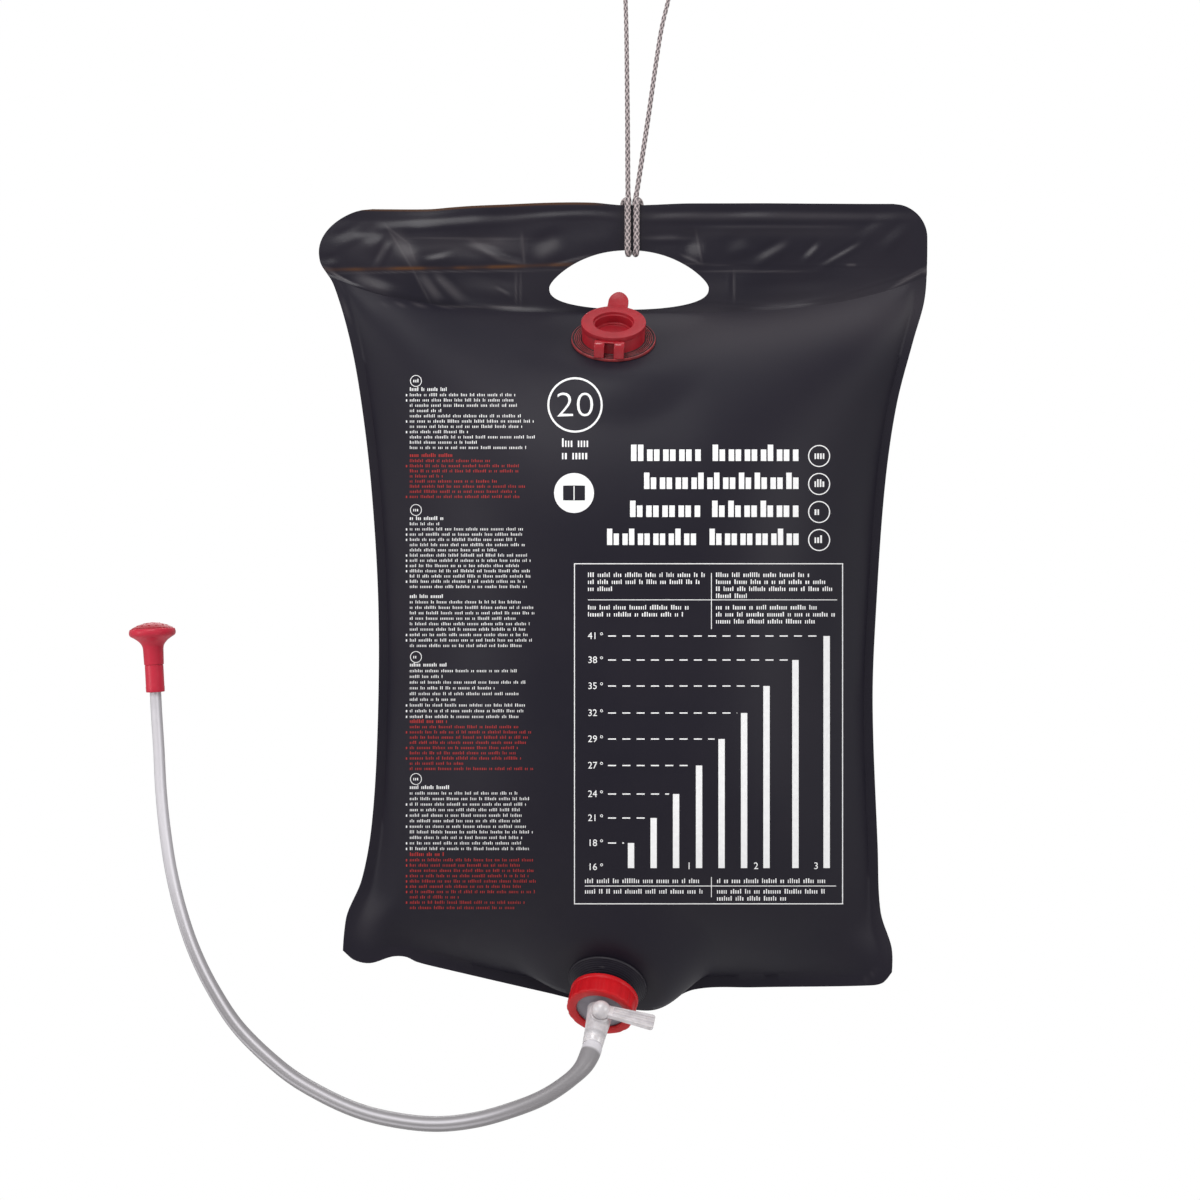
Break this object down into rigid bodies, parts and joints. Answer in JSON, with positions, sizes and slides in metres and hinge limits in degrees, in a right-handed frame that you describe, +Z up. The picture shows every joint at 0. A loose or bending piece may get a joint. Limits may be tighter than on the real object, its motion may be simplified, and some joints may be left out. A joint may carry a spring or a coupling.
{
  "type": "solar shower",
  "caption": "Hanging black film water bag with a cord sling, push-in filler stopper, screwed outlet tap, clear hose and a small shower rose.",
  "frame": {"origin": "inner top of the cord sling's loop, where the full bag hangs", "axes": "+Z up, the printed front with filler and outlet faces -Y, +X to the right as seen from the front"},
  "size_m": [0.5752, 0.2315, 0.7982],
  "materials": {
    "black_film": "soft glossy black film",
    "black_moulding": "satin black moulding",
    "red_moulding": "satin red moulding",
    "natural_moulding": "milky translucent white moulding",
    "grey_rubber": "matt dark rubber",
    "clear_hose": "clear soft hose",
    "white_braid": "braided white cord"
  },
  "bodies": {
    "bag": {"front_panel": "black_film", "back_panel": "black_film", "filler_neck": "red_moulding", "stopper_tongue": "red_moulding", "outlet_neck": "black_moulding", "hanging_cord": "white_braid", "cord_knot": "white_braid"},
    "stopper": {"stopper": "red_moulding"},
    "tap": {"tap_body": "natural_moulding", "outlet_gasket": "grey_rubber", "hose": "clear_hose", "rose_connector": "red_moulding"},
    "union_nut": {"outlet_nut": "red_moulding"},
    "key": {"tap_key": "natural_moulding"},
    "washer": {"rose_washer": "grey_rubber"},
    "rose": {"rose_head": "red_moulding", "rose_plate": "red_moulding"}
  },
  "joints": [
    {"name": "stopper_flip", "type": "hinge", "parent": "bag", "child": "stopper", "pos_m": [-0.02369, -0.05628, -0.27681], "axis": [1, 0, 0], "range_deg": [0, 150], "deforming": ["stopper_tongue"]},
    {"name": "tap_withdraw", "type": "slide", "parent": "bag", "child": "tap", "axis": [-0.191, -0.7384, -0.6468], "range_m": [0, 0.006]},
    {"name": "nut_turn", "type": "hinge", "parent": "tap", "child": "union_nut", "pos_m": [-0.02763, -0.03354, -0.70608], "axis": [-0.191, -0.7384, -0.6468], "range_deg": [0, 720]},
    {"name": "key_turn", "type": "hinge", "parent": "tap", "child": "key", "pos_m": [-0.03389, -0.05776, -0.72729], "axis": [-0.1422, 0.6728, -0.7261], "range_deg": [0, 90]},
    {"name": "washer_travel", "type": "slide", "parent": "tap", "child": "washer", "axis": [-0.0523, 0, 0.9986], "range_m": [0, 0.004]},
    {"name": "rose_turn", "type": "hinge", "parent": "washer", "child": "rose", "pos_m": [-0.3628, 0.11, -0.5168], "axis": [-0.0523, 0, 0.9986], "range_deg": [0, 720]}
  ],
  "couplings": [
    {"joint": "nut_turn", "follows": "tap_withdraw", "rad_per_m": 2094.4},
    {"joint": "rose_turn", "follows": "washer_travel", "rad_per_m": 3141.6}
  ]
}
